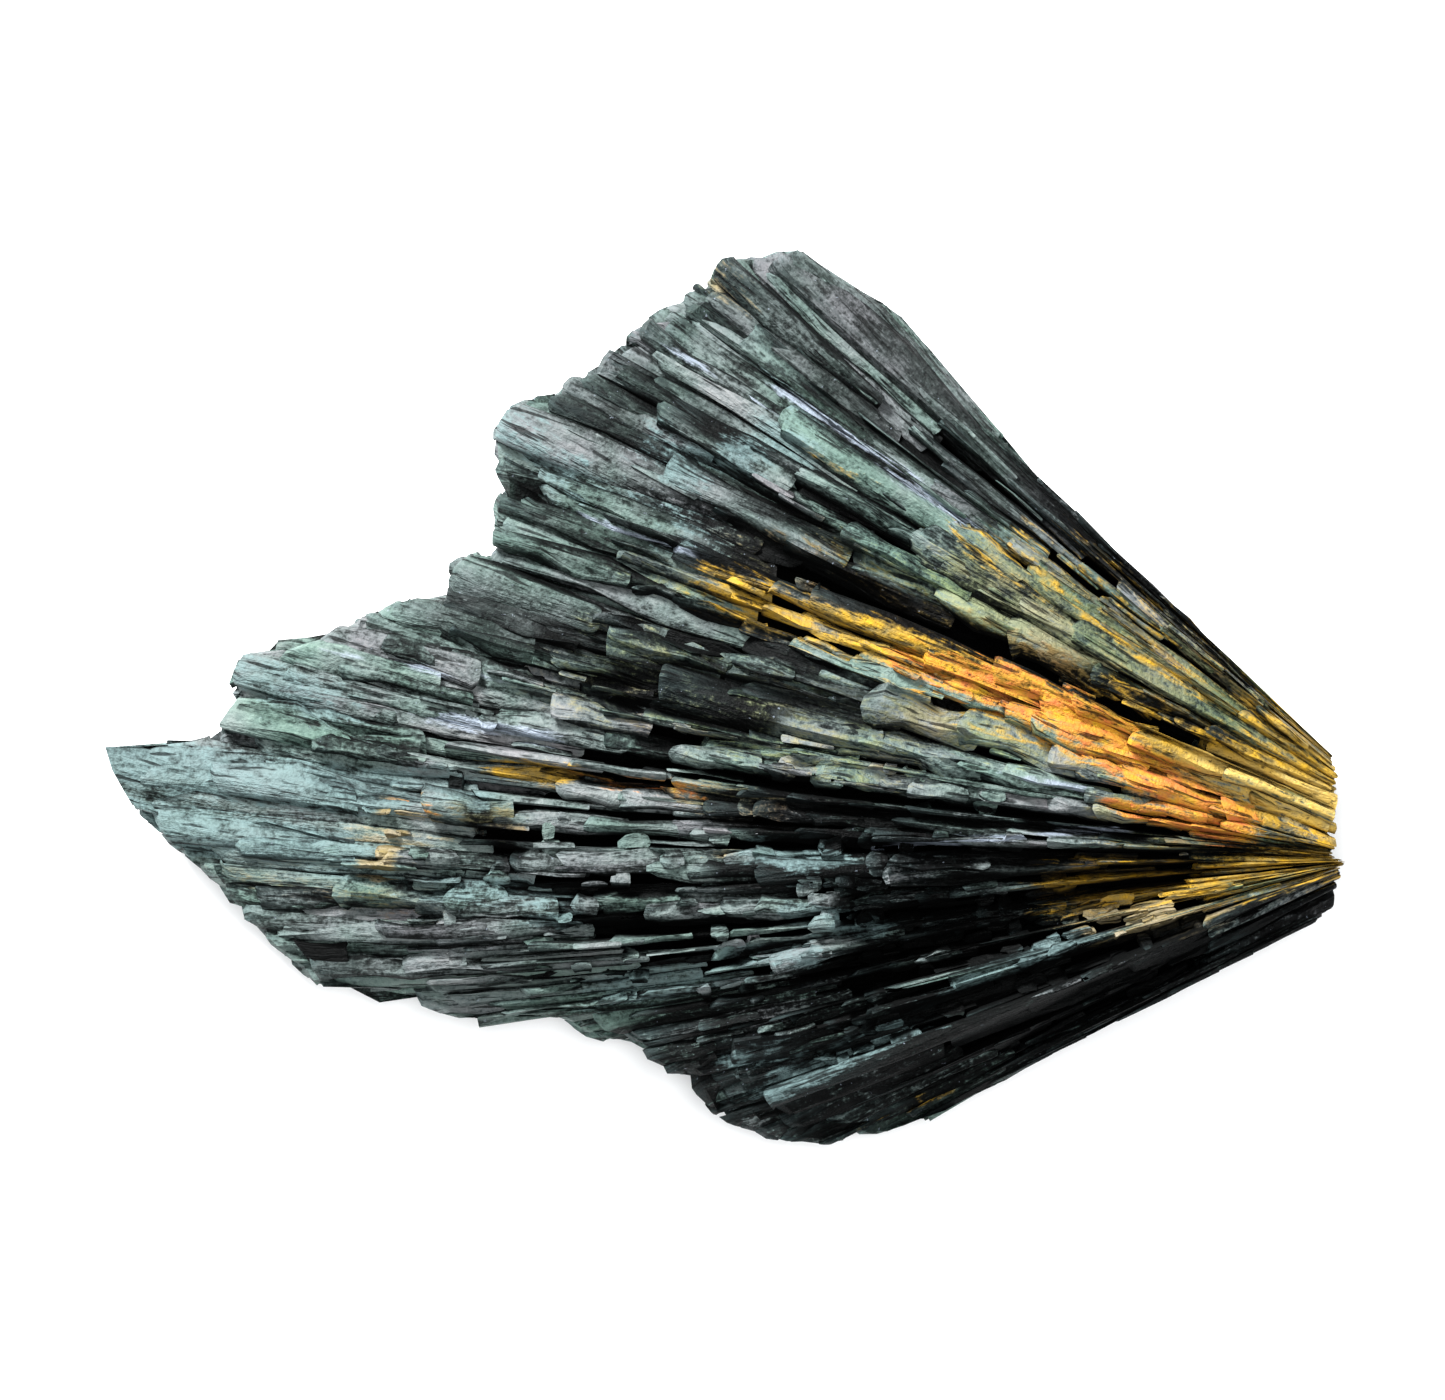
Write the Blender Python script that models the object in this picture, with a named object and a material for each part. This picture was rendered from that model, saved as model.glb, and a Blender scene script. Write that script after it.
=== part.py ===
"""A fan of black kyanite: thin dark blades that grew out of one root and broke off at many lengths.

The fan lies flat. +X runs from its pointed tip to its broken root, +Y across it and +Z up. Each blade
follows a rib line, which is named by its angle in degrees. Lengths are in millimetres until the last
step of on_rib, which turns them into metres.
"""

import math
import random

import bmesh
import bpy
from mathutils import Vector

MM = 0.001
SEED = 3

# The point that the rib lines aim at, and the broken face just short of it, which has one low step.
ROOT_X = 41.4
ROOT_Y = -9.85
BASE_X = 37.3
BASE_STEP = 0.6

# Where the rim blades end: the angle of each one's rib line and its distance from the root point.
RIM = (
    (46.4, 46.8),
    (44.8, 52.4),
    (43.2, 54.0),
    (41.4, 55.4),
    (39.6, 55.7),
    (37.7, 56.2),
    (35.8, 57.1),
    (34.0, 57.4),
    (32.2, 57.9),
    (30.4, 58.7),
    (28.7, 59.9),
    (27.0, 61.6),
    (25.3, 61.9),
    (23.6, 61.2),
    (21.9, 60.1),
    (20.3, 59.6),
    (18.7, 59.8),
    (17.1, 61.0),
    (15.6, 61.2),
    (13.9, 64.1),
    (12.4, 66.4),
    (10.9, 68.8),
    (9.4, 72.5),
    (7.9, 72.5),
    (6.0, 73.6),
    (3.8, 79.2),
    (2.2, 78.0),
    (0.8, 76.4),
    (-0.6, 74.6),
    (-1.9, 72.8),
    (-3.2, 71.1),
    (-4.8, 69.7),
    (-6.4, 68.0),
    (-7.9, 62.2),
    (-9.3, 59.7),
    (-11.1, 53.5),
    (-13.2, 50.8),
    (-15.1, 48.4),
    (-16.9, 47.0),
    (-18.8, 45.9),
    (-20.7, 45.3),
    (-22.6, 44.0),
    (-24.4, 42.5),
    (-26.2, 40.8),
    (-27.9, 37.4),
    (-29.5, 29.2),
)
RIM_RISING = tuple(sorted(RIM))

# The end of the longest blade is cut askew, longer on its +Y side.
TIP_ANGLE = 3.8
TIP_SLANT = 1.8
MOST_SLANT = 1.7

# How far each rib line stands off at the root from a straight line through the root point. The offset
# fades to nothing at the rim, so the ribs are nearly straight.
ROOT_SHIFT = (
    (-30.0, -1.5),
    (-26.0, 0.0),
    (-20.0, 0.7),
    (-8.0, 0.1),
    (0.0, -0.35),
    (16.0, -0.75),
    (23.0, 0.8),
    (28.0, 2.0),
    (40.0, 1.9),
    (47.0, 2.2),
)

# Heights of the upper and lower surfaces, by the share of the way from the root to the rim.
TOP_PROFILE = ((0.0, 8.4), (0.12, 9.6), (0.3, 11.8), (0.5, 12.2), (0.7, 10.6), (0.88, 8.0), (1.0, 6.0))
UNDER_PROFILE = ((0.0, 1.9), (0.12, 1.2), (0.3, 0.8), (0.6, 0.8), (0.85, 1.4), (1.0, 2.4))
LEAST_THICKNESS = 2.4

# How the two surfaces close up towards the flanks, at positive and at negative angles.
UPPER_FLANK = {"drop_angles": (38.5, 48.0), "drop": 4.4, "rise_angles": (40.0, 50.0), "rise": 0.9}
LOWER_FLANK = {"drop_angles": (21.0, 30.5), "drop": 4.0, "rise_angles": (22.0, 31.0), "rise": 0.7}

# The hollow in the upper surface, and its long grooves and ridges.
HOLLOW = {"angle": -7.0, "spread": 6.5, "near": (12.0, 20.0), "far": (31.0, 36.0), "depth": 3.6}
HOLLOW_BLADES = (-13.0, 1.0)
RIDGES = (
    # angle, its spread, distance, its spread, height
    (27.5, 1.6, 25.0, 15.0, -1.1),
    (23.0, 2.0, 28.0, 17.0, 0.9),
    (-20.0, 1.8, 26.0, 14.0, 0.9),
)

# The solid middle: how far it stays inside the surfaces and the rim.
CORE_ANGLES = (-29.0, 44.8)
CORE_INSET = 0.2
CORE_REACH = 0.86

# Where the fan rests: three blades of the underside, worn flat.
FEET = (
    # angle, width in degrees, start, end
    (26.0, 9.0, 36.0, 47.0),
    (-6.0, 9.0, 40.0, 53.0),
    (2.0, 26.0, 9.0, 19.0),
)
REST_Z = 0.0
CHAMFER = 0.27


def interpolate(table, x):
    """The value at x of a table of (x, value) rows that rise in x."""
    if x <= table[0][0]:
        return table[0][1]
    for (x0, y0), (x1, y1) in zip(table, table[1:]):
        if x <= x1:
            return y0 + (y1 - y0) * (x - x0) / (x1 - x0)
    return table[-1][1]


def hump(x, middle, spread):
    """A smooth hump, 1 high at its middle."""
    return math.exp(-(((x - middle) / spread) ** 2))


def smooth_step(x, start, end):
    """0 before start and 1 after end, with a smooth rise between."""
    t = min(1.0, max(0.0, (x - start) / (end - start)))
    return t * t * (3 - 2 * t)


def even_rim(angle):
    """The rim's distance with its small steps evened out."""
    return sum(interpolate(RIM_RISING, angle + aside) for aside in (-6, -3, 0, 3, 6)) / 5


SOFT_RIM = tuple((angle, even_rim(angle)) for angle, _ in RIM_RISING)


def share_of_way(distance, angle):
    """How far out a point is, from 0 at the root to about 1 at the rim."""
    return distance / interpolate(SOFT_RIM, angle)


def under_height(distance, angle):
    """The lower surface: a shallow belly that lifts at the root, the rim and both flanks."""
    z = interpolate(UNDER_PROFILE, share_of_way(distance, angle))
    z += UPPER_FLANK["rise"] * smooth_step(angle, *UPPER_FLANK["rise_angles"])
    z += LOWER_FLANK["rise"] * smooth_step(-angle, *LOWER_FLANK["rise_angles"])
    return z


def top_height(distance, angle):
    """The upper surface: domed and lower at both flanks, with a hollow, a groove and two long ridges."""
    share = share_of_way(distance, angle)
    z = interpolate(TOP_PROFILE, share)
    drop = UPPER_FLANK["drop"] * smooth_step(angle, *UPPER_FLANK["drop_angles"])
    drop += LOWER_FLANK["drop"] * smooth_step(-angle, *LOWER_FLANK["drop_angles"])
    z -= drop * (1 - 0.6 * share)
    inside = smooth_step(distance, *HOLLOW["near"]) * (1 - smooth_step(distance, *HOLLOW["far"]))
    z -= HOLLOW["depth"] * hump(angle, HOLLOW["angle"], HOLLOW["spread"]) * inside
    for middle, spread, at, length, height in RIDGES:
        z += height * hump(angle, middle, spread) * hump(distance, at, length)
    return max(z, under_height(distance, angle) + LEAST_THICKNESS)


def on_rib(distance, angle, z):
    """The point at that distance along the rib line of that angle, in metres."""
    turn = math.radians(angle)
    shift = interpolate(ROOT_SHIFT, angle) * max(0.0, 1 - share_of_way(distance, angle)) ** 2
    return Vector((ROOT_X - distance * math.cos(turn), ROOT_Y + distance * math.sin(turn) + shift, z)) * MM


def base_start(angle):
    """How far along its rib line a blade meets the broken face at the root."""
    face_x = BASE_X + (BASE_STEP if angle < 0 else 0.0)
    return (ROOT_X - face_x) / math.cos(math.radians(angle))


def unit_bar(stations, chamfered):
    """A bar 1 long, wide and high, with its upper or lower long edges chamfered and cuts along it."""
    bm = bmesh.new()
    bmesh.ops.create_cube(bm, size=1.0)
    side = 1 if chamfered == "top" else -1
    long_edges = [
        edge
        for edge in bm.edges
        if all(vert.co.z * side > 0 for vert in edge.verts) and edge.verts[0].co.y == edge.verts[1].co.y
    ]
    bmesh.ops.bevel(bm, geom=long_edges, offset=CHAMFER, segments=1, affect="EDGES")
    for number in range(1, stations):
        cut = Vector((number / stations - 0.5, 0, 0))
        geom = bm.verts[:] + bm.edges[:] + bm.faces[:]
        bmesh.ops.bisect_plane(bm, geom=geom, plane_co=cut, plane_no=(1, 0, 0))
    return bm


def add_blade(blades, name, angle, width, start, end, heights, chamfered="top", **shape):
    """One blade along a rib line, from start to end. width is in degrees, and heights are shares of the
    way from the lower to the upper surface. In shape, slant makes the end longer on its +Y side, lift
    raises the whole blade, dive sinks its inner end, and flat puts its lower face on the rest plane."""
    low, high = heights
    bm = unit_bar(shape.get("stations", 3), chamfered)
    for vert in bm.verts:
        along, across, up = vert.co.x + 0.5, vert.co.y, vert.co.z + 0.5
        distance = start + (end - start) * along
        if along > 0.99:
            distance += shape.get("slant", 0.0) * across
        floor, ceiling = under_height(distance, angle), top_height(distance, angle)
        z = floor + (ceiling - floor) * (low + (high - low) * up)
        z += shape.get("lift", 0.0) - shape.get("dive", 0.0) * (1 - along) ** 2
        if shape.get("flat") and up < 0.01:
            z = REST_Z
        vert.co = on_rib(distance, angle + width * across, z)
    bmesh.ops.triangulate(bm, faces=bm.faces[:])
    mesh = bpy.data.meshes.new(name)
    bm.to_mesh(mesh)
    bm.free()
    blade = bpy.data.objects.new(name, mesh)
    blade.hide_render = True
    blade.display_type = "WIRE"
    blades.objects.link(blade)


def add_rim(blades, rng):
    """Two leaves of blades that reach the rim, one above the other, with ends that follow the outline."""
    for number, (angle, reach) in enumerate(RIM):
        gaps = sorted(abs(angle - other) for other, _ in RIM if other != angle)
        width = 1.2 * (gaps[0] + min(gaps[1], 1.3 * gaps[0])) / 2
        start = reach * (0.84 if number in (0, len(RIM) - 1) else 0.4)
        rise = interpolate(RIM_RISING, angle + width / 2) - interpolate(RIM_RISING, angle - width / 2)
        askew = TIP_SLANT if angle == TIP_ANGLE else min(MOST_SLANT, max(-MOST_SLANT, 0.6 * rise))
        for leaf, low, high, chamfered in ((0, 0.1, 0.5, "bottom"), (1, 0.42, 0.86, "top")):
            shorter = rng.uniform(0.5, 3.0) if (number + leaf) % 2 else 0.0
            heights = (low + rng.uniform(-0.05, 0.05), high + rng.uniform(-0.1, 0.1))
            shape = {"slant": askew + rng.uniform(-0.4, 0.4), "stations": 2}
            end = reach - shorter
            add_blade(blades, f"rim_{leaf}_{number}", angle, width, start, end, heights, chamfered, **shape)


def add_flanks(blades):
    """The long outermost blades, which make both flanks near the root."""
    flanks = (
        # angle, width, end, heights
        (45.7, 2.4, 24.0, (0.05, 0.5)),
        (44.3, 2.4, 32.0, (0.4, 0.95)),
        (-29.3, 2.2, 22.0, (0.45, 0.95)),
        (-28.4, 2.0, 28.0, (0.05, 0.55)),
    )
    for number, (angle, width, end, heights) in enumerate(flanks):
        start = base_start(angle) + 0.2 * number
        add_blade(blades, f"flank_{number}", angle, width, start, end, heights, slant=1.2)


def add_ledges(blades, rng):
    """The shingled blades of both faces: each row starts nearer the root than the one it lies on. The
    outer ones by the hollow start bare at its far wall, and the middle ones stop short of it."""
    rows = (
        # name, pitch, width, start share, end shares, heights, chamfered edges
        ("top_outer", 3.3, 3.5, 0.3, (0.66, 0.93), (0.48, 0.98), "top"),
        ("top_middle", 5.0, 4.8, 0.12, (0.45, 0.7), (0.55, 1.0), "top"),
        ("top_inner", 9.0, 8.6, 0.0, (0.28, 0.5), (0.62, 1.03), "top"),
        ("under_outer", 5.2, 4.8, 0.2, (0.6, 0.92), (0.02, 0.42), "bottom"),
        ("under_inner", 9.0, 8.0, 0.0, (0.35, 0.6), (0.0, 0.35), "bottom"),
    )
    lowest, highest = -27.5, 44.0
    for row, pitch, usual_width, start_share, end_shares, heights, chamfered in rows:
        count = int((highest - lowest) / pitch)
        upper = chamfered == "top"
        for number in range(count):
            angle = lowest + (highest - lowest) * (number + 0.5) / count + rng.uniform(-0.4, 0.4)
            width = usual_width * rng.uniform(0.85, 1.1)
            angle = min(highest - width / 2, max(lowest + width / 2, angle))
            reach = interpolate(RIM_RISING, angle)
            start = max(base_start(angle) + rng.uniform(0.0, 0.5), reach * start_share)
            end = reach * rng.uniform(*end_shares)
            dive = (1.2 if upper else -1.2) if start_share else 0.0
            by_hollow = HOLLOW_BLADES[0] < angle < HOLLOW_BLADES[1]
            if by_hollow and row == "top_outer":
                start, dive = rng.uniform(32.5, 36.5), 0.0
            if by_hollow and row == "top_middle":
                end = rng.uniform(17, 21)
            shape = {"slant": rng.uniform(-1.4, 1.4), "lift": rng.uniform(-0.35, 0.35)}
            shape.update(dive=dive, stations=3 if upper else 2)
            end = max(end, start + 6)
            add_blade(blades, f"{row}_{number}", angle, width, start, end, heights, chamfered, **shape)


def add_feet(blades):
    """The flat blades that the fan rests on, all at one height."""
    for number, (angle, width, start, end) in enumerate(FEET):
        add_blade(blades, f"foot_{number}", angle, width, start, end, (0.0, 0.4), "bottom", flat=True)


def make_core(stone):
    """The solid middle that every blade grows out of: one wedge, a little inside both surfaces."""
    bm = bmesh.new()
    bmesh.ops.create_grid(bm, x_segments=9, y_segments=16, size=0.5)
    sheet = bmesh.ops.extrude_face_region(bm, geom=bm.faces[:])
    upper = {item for item in sheet["geom"] if isinstance(item, bmesh.types.BMVert)}
    low_angle, high_angle = CORE_ANGLES
    for vert in bm.verts:
        angle = low_angle + (high_angle - low_angle) * (vert.co.y + 0.5)
        start = base_start(angle) + 0.5
        reach = interpolate(RIM_RISING, angle) * CORE_REACH
        distance = start + (reach - start) * (vert.co.x + 0.5)
        floor, ceiling = under_height(distance, angle), top_height(distance, angle)
        share = 1 - CORE_INSET if vert in upper else CORE_INSET
        vert.co = on_rib(distance, angle, floor + (ceiling - floor) * share)
    bmesh.ops.triangulate(bm, faces=bm.faces[:])
    bmesh.ops.recalc_face_normals(bm, faces=bm.faces[:])
    mesh = bpy.data.meshes.new("crystal_fan")
    bm.to_mesh(mesh)
    bm.free()
    mesh.materials.append(stone)
    return bpy.data.objects.new("crystal_fan", mesh)


def make_stone():
    """Dark grey-green kyanite, between glassy and pearly."""
    stone = bpy.data.materials.new("kyanite")
    stone.use_nodes = True
    shader = stone.node_tree.nodes["Principled BSDF"]
    shader.inputs["Base Color"].default_value = (0.06, 0.085, 0.085, 1.0)
    shader.inputs["Roughness"].default_value = 0.42
    shader.inputs["Metallic"].default_value = 0.0
    return stone


def fuse(core, blades):
    """Joins the blades to the core as one stone, with its origin under the middle of its box."""
    join = core.modifiers.new("join_blades", "BOOLEAN")
    join.operation = "UNION"
    join.operand_type = "COLLECTION"
    join.collection = blades
    graph = bpy.context.evaluated_depsgraph_get()
    mesh = bpy.data.meshes.new_from_object(core.evaluated_get(graph))
    core.modifiers.clear()
    core.data = mesh
    low, high = (Vector(map(choose, zip(*(vert.co for vert in mesh.vertices)))) for choose in (min, max))
    middle = (low + high) / 2
    for vert in mesh.vertices:
        vert.co -= Vector((middle.x, middle.y, low.z))


def main():
    for item in list(bpy.data.objects):
        bpy.data.objects.remove(item)
    parts = bpy.data.collections.new("black_kyanite")
    blades = bpy.data.collections.new("blades")
    for collection in (parts, blades):
        bpy.context.scene.collection.children.link(collection)
    core = make_core(make_stone())
    parts.objects.link(core)
    rng = random.Random(SEED)
    add_rim(blades, rng)
    add_flanks(blades)
    add_ledges(blades, rng)
    add_feet(blades)
    fuse(core, blades)


main()
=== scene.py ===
import math
import random

import bmesh
import bpy
import numpy as np
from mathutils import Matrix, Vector, noise


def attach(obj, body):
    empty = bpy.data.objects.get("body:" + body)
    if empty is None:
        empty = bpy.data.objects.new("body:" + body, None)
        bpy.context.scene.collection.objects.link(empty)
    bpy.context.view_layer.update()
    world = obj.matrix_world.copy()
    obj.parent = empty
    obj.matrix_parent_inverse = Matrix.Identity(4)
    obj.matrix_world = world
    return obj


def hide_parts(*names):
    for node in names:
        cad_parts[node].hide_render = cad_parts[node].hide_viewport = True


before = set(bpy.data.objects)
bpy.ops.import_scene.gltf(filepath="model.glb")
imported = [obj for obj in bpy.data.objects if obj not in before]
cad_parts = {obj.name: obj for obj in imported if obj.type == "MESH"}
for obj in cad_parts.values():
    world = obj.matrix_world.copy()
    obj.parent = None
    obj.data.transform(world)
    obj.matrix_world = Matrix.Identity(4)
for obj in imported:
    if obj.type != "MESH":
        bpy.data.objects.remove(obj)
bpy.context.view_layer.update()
mm = 0.001
print("kyanite: frame loaded")

# Plan and section of the fan, in mm. A rib line is named by its angle about the root point, in degrees.
rootX, rootY = 41.675, -9.476
fan = {
    "baseX": 37.5,  # the broken face at the root
    "baseStep": 0.5,  # it stands out further at negative angles
    "cornerAngle": -26.0,  # past that angle its corner is cut off, by so many mm per degree
    "cornerCut": 0.5,
    "rim": (
        (-31.5, 20), (-30, 26), (-29.2, 32), (-28.5, 35.6), (-27, 39.2), (-25.5, 41.2), (-24, 42.9),
        (-22.5, 43.9), (-21, 45.1), (-18.8, 45.7), (-17.2, 46.1), (-16.5, 47.3), (-15, 48), (-14, 48.6),
        (-12.8, 51.4), (-11.2, 52.9), (-10.5, 53.4), (-9.9, 58.5), (-9, 60.7), (-7.5, 62.4), (-6.9, 67.4),
        (-6, 68.1), (-4.5, 69.6), (-3, 71.3), (-1.5, 73.1), (0, 75.2), (0.9, 76), (1.4, 77.6),
        (2.2, 77.8), (3.8, 79.2), (4.8, 79.9), (5.2, 74.4), (6, 73.1), (7.5, 72.1), (8.2, 72.8),
        (9.8, 72.3), (10.4, 69.6), (11.2, 67.7), (12.8, 66), (13.5, 64.3), (14.4, 63.6), (14.9, 60.6),
        (17.2, 61.1), (18, 59.9), (18.8, 59), (20.2, 59.6), (21.8, 59.8), (23.2, 60.7), (24.8, 61.6),
        (26.2, 61.5), (27.8, 60.6), (28.5, 59.3), (30, 58.8), (30.8, 58), (33, 57.5), (35.2, 56.9),
        (37.5, 56.1), (39.8, 55.6), (41.2, 55.4), (42.8, 54.2), (44.2, 53.3), (45.2, 52.3), (46, 48.4),
        (46.8, 46.5),
    ),
    "rootShift": (
        (-30, -2.1), (-26, 0), (-20, 0.7), (-8, 0.1), (0, -0.35), (16, -0.75), (23, 0.8), (28, 2),
        (40, 1.9), (47, 2.2),
    ),
    "lean": (
        (-29, 0), (-15, 0.03), (-8, 0.09), (-3, 0.11), (5, 0.09), (12, 0.08), (20, 0), (30, -0.04),
        (38, 0), (46, 0.07),
    ),  # how many degrees a rib turns in each mm as it nears the rim
    "topHeights": ((0, 8.4), (0.12, 9.6), (0.3, 11.8), (0.5, 12.2), (0.7, 10.6), (0.88, 8), (1, 6)),
    "underHeights": ((0, 1.9), (0.12, 1.2), (0.3, 0.8), (0.6, 0.8), (0.85, 1.4), (1, 2.4)),
    "upperFlanks": ((38.5, 48, 4.4), (-21, -30.5, 4)),  # from and to an angle, and how much lower
    "underFlanks": ((40, 50, 0.9), (-22, -31, 0.7)),  # and how much higher the underside is
    "bumps": 0.55,
    "thinnest": 2.4,
    "hollow": {"angle": -7, "spread": 6.5, "near": (11, 19), "far": (32, 35.5), "depth": 4.6},
    "ridges": ((25.4, 1.2, 26, 14, -0.7), (23, 2, 28, 17, 0.7), (-20, 1.8, 26, 14, 0.7)),
    "flank": ((20, 48.6), (27, 46.6), (31, 46), (35, 46.4), (40, 46.9), (45, 47.1), (49, 46.2), (53, 45.2)),
    "flankStart": 18,
    "flankPull": 0.85,  # what lies past the flank is moved back by that share
    "grown": {
        "upperAngles": (6, 11), "upperReach": (28, 46),
        "lowerAngle": -11, "lowerSpread": (3, 5.5), "lowerReach": (21, 26),
    },
    "heightLimit": 12.6,
    "floorLimit": 0.3,
    "sideLimit": 27.75,
    "tipLimit": 37.95,
}


def interpolate(table, x):
    if x <= table[0][0]:
        return table[0][1]
    for (x0, y0), (x1, y1) in zip(table, table[1:]):
        if x <= x1:
            return y0 + (y1 - y0) * (x - x0) / (x1 - x0)
    return table[-1][1]


def smoothStep(x, start, end):
    # 0 at start and 1 at end, whichever of them is the larger
    t = min(1.0, max(0.0, (x - start) / (end - start)))
    return t * t * (3 - 2 * t)


def hump(x, middle, spread):
    return math.exp(-(((x - middle) / spread) ** 2))


def rimAt(angle):
    return interpolate(fan["rim"], angle)


# The rim with its small steps evened out, which the heights follow
softRim = tuple(
    (angle, sum(rimAt(angle + aside) for aside in (-6, -3, 0, 3, 6)) / 5) for angle in range(-32, 50)
)


def shareAt(distance, angle):
    return distance / interpolate(softRim, angle)


def flankShift(angle, rows):
    return sum(shift * smoothStep(angle, start, end) for start, end, shift in rows)


def underHeight(distance, angle):
    z = interpolate(fan["underHeights"], shareAt(distance, angle))
    return z + flankShift(angle, fan["underFlanks"])


def topHeight(distance, angle):
    share = shareAt(distance, angle)
    z = interpolate(fan["topHeights"], share)
    z -= flankShift(angle, fan["upperFlanks"]) * (1 - 0.6 * share)
    hollow = fan["hollow"]
    inside = smoothStep(distance, *hollow["near"]) * (1 - smoothStep(distance, *hollow["far"]))
    z -= hollow["depth"] * hump(angle, hollow["angle"], hollow["spread"]) * inside
    for middle, spread, at, length, height in fan["ridges"]:
        z += height * hump(angle, middle, spread) * hump(distance, at, length)
    z += fan["bumps"] * noise.noise(Vector((angle * 0.17, distance * 0.08, 3.1)))
    return max(z, underHeight(distance, angle) + fan["thinnest"])


# Narrow crevices between the sheaves of blades: angle, near, far, half width and depth in mm
grooves = (
    (42.3, 22, 52, 0.32, 2.2), (39.4, 18, 50, 0.28, 1.6), (36.3, 22, 44, 0.25, 1.4),
    (44.8, 12, 40, 0.3, 1.6), (33, 34, 58, 0.28, 1.6), (25.3, 20, 44, 0.4, 1.4), (24.2, 44, 58, 0.3, 1.5),
    (22.4, 46, 58, 0.3, 1.6), (18, 36, 58, 0.32, 1.6), (15, 26, 46, 0.35, 1.8), (12.2, 30, 52, 0.3, 1.6),
    (8.2, 10, 40, 0.3, 1.5), (5.6, 54, 74, 0.3, 1.6), (2.9, 56, 78, 0.3, 1.5), (0, 58, 75, 0.3, 1.5),
    (2.6, 8, 30, 0.3, 1.6), (-0.8, 6, 30, 0.35, 1.8), (-4.5, 6, 34, 0.4, 1.8), (-9.5, 14, 36, 0.5, 2),
    (-13, 12, 40, 0.5, 2.2), (-17.8, 8, 34, 0.6, 2.4), (-23, 8, 42, 0.5, 2.2), (-25.8, 8, 38, 0.45, 2),
    (-27.8, 8, 32, 0.4, 1.6),
)
strayCrevices = {
    "count": 150, "lengths": (4, 16), "angles": (-28, 44), "shares": (0.3, 1.0), "halfWidths": (0.15, 0.34),
    "depth": 5,  # in half widths
}


def planCrevices(rng):
    plan = list(grooves)
    for _ in range(strayCrevices["count"]):
        length = rng.uniform(*strayCrevices["lengths"])
        angle = rng.uniform(*strayCrevices["angles"])
        end = rimAt(angle) * rng.uniform(*strayCrevices["shares"])
        half = rng.uniform(*strayCrevices["halfWidths"])
        plan.append((angle, end - length, end, half, half * strayCrevices["depth"]))
    return np.array(plan)


crevices = planCrevices(random.Random(5))
degreeWidth = 0.01745  # width of a degree in mm, at a distance of 1 mm


def creviceDepth(distance, angle):
    # full along the middle, falling to 0 at 1.6 times the half width and 0.8 mm past the ends
    aside = np.abs(crevices[:, 0] - angle) * (distance * degreeWidth) / crevices[:, 3]
    beyond = np.maximum(crevices[:, 1] - distance, distance - crevices[:, 2])
    depth = crevices[:, 4] * np.clip(1.6 - aside, 0, 1) * np.clip(0.8 - beyond, 0, 1)
    return float(depth.max())


def grownTogether(distance, angle):
    # 1 near the root, where the blades have grown together, and 0 where gaps open between them
    grown = fan["grown"]
    upper = smoothStep(angle, *grown["upperAngles"]) * (1 - smoothStep(distance, *grown["upperReach"]))
    lower = 1 - smoothStep(abs(angle - grown["lowerAngle"]), *grown["lowerSpread"])
    return max(upper, lower * (1 - smoothStep(distance, *grown["lowerReach"])))


def onRib(distance, angle, z):
    reach = rimAt(angle)
    leaning = interpolate(fan["lean"], angle) * max(0.0, reach - distance) * distance / reach
    turn = math.radians(angle - leaning)
    shift = interpolate(fan["rootShift"], angle) * max(0.0, 1 - shareAt(distance, angle)) ** 2
    x = max(-fan["tipLimit"], rootX - distance * math.cos(turn))
    y = rootY + distance * math.sin(turn) + shift
    now = math.degrees(math.atan2(y - rootY, rootX - x))
    beyond = now - interpolate(fan["flank"], distance)
    if distance > fan["flankStart"] and beyond > 0.0:
        turn = math.radians(now - fan["flankPull"] * beyond)
        x = rootX - distance * math.cos(turn)
        y = rootY + distance * math.sin(turn)
    return Vector((x, max(-fan["sideLimit"], min(fan["sideLimit"], y)), z)) * mm


def baseStart(angle):
    faceX = fan["baseX"] + (fan["baseStep"] if angle < 0 else 0.0)
    cutOff = fan["cornerCut"] * max(0.0, fan["cornerAngle"] - angle)
    return (rootX - faceX) / math.cos(math.radians(angle)) + cutOff


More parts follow.
